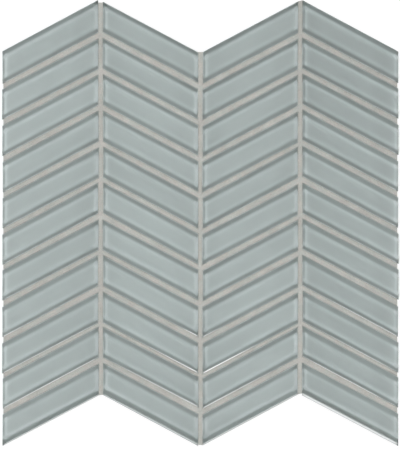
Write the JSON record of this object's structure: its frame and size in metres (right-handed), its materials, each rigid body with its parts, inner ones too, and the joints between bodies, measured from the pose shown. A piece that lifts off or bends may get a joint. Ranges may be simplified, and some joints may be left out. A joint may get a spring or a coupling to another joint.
{
  "type": "chevron glass mosaic tile sheet",
  "caption": "Mesh-backed sheet of slanted pale grey-blue glass chips in mirrored columns that make a chevron, with grouted joints and zigzag ends that mesh with the next sheet.",
  "frame": {"origin": "centre of the sheet's back, on the surface it lies on", "axes": "+X across the columns, +Y along the columns towards the end with the single notch, +Z out of the glass face"},
  "size_m": [0.2722, 0.3054, 0.0085],
  "materials": {
    "glass": "polished clear glass over a pale grey-blue back coat, ground edges",
    "grout": "fine-sanded greige cement grout, matt",
    "scrim": "open-weave white fibreglass mesh with a glue coat"
  },
  "bodies": {
    "root": {"glass_chip_column1_row01": "glass", "glass_chip_column1_row02": "glass", "glass_chip_column1_row03": "glass", "glass_chip_column1_row04": "glass", "glass_chip_column1_row05": "glass", "glass_chip_column1_row06": "glass", "glass_chip_column1_row07": "glass", "glass_chip_column1_row08": "glass", "glass_chip_column1_row09": "glass", "glass_chip_column1_row10": "glass", "glass_chip_column1_row11": "glass", "glass_chip_column2_row01": "glass", "glass_chip_column2_row02": "glass", "glass_chip_column2_row03": "glass", "glass_chip_column2_row04": "glass", "glass_chip_column2_row05": "glass", "glass_chip_column2_row06": "glass", "glass_chip_column2_row07": "glass", "glass_chip_column2_row08": "glass", "glass_chip_column2_row09": "glass", "glass_chip_column2_row10": "glass", "glass_chip_column2_row11": "glass", "glass_chip_column3_row01": "glass", "glass_chip_column3_row02": "glass", "glass_chip_column3_row03": "glass", "glass_chip_column3_row04": "glass", "glass_chip_column3_row05": "glass", "glass_chip_column3_row06": "glass", "glass_chip_column3_row07": "glass", "glass_chip_column3_row08": "glass", "glass_chip_column3_row09": "glass", "glass_chip_column3_row10": "glass", "glass_chip_column3_row11": "glass", "glass_chip_column4_row01": "glass", "glass_chip_column4_row02": "glass", "glass_chip_column4_row03": "glass", "glass_chip_column4_row04": "glass", "glass_chip_column4_row05": "glass", "glass_chip_column4_row06": "glass", "glass_chip_column4_row07": "glass", "glass_chip_column4_row08": "glass", "glass_chip_column4_row09": "glass", "glass_chip_column4_row10": "glass", "glass_chip_column4_row11": "glass", "joint_grout": "grout", "backing_scrim": "scrim"}
  },
  "joints": []
}
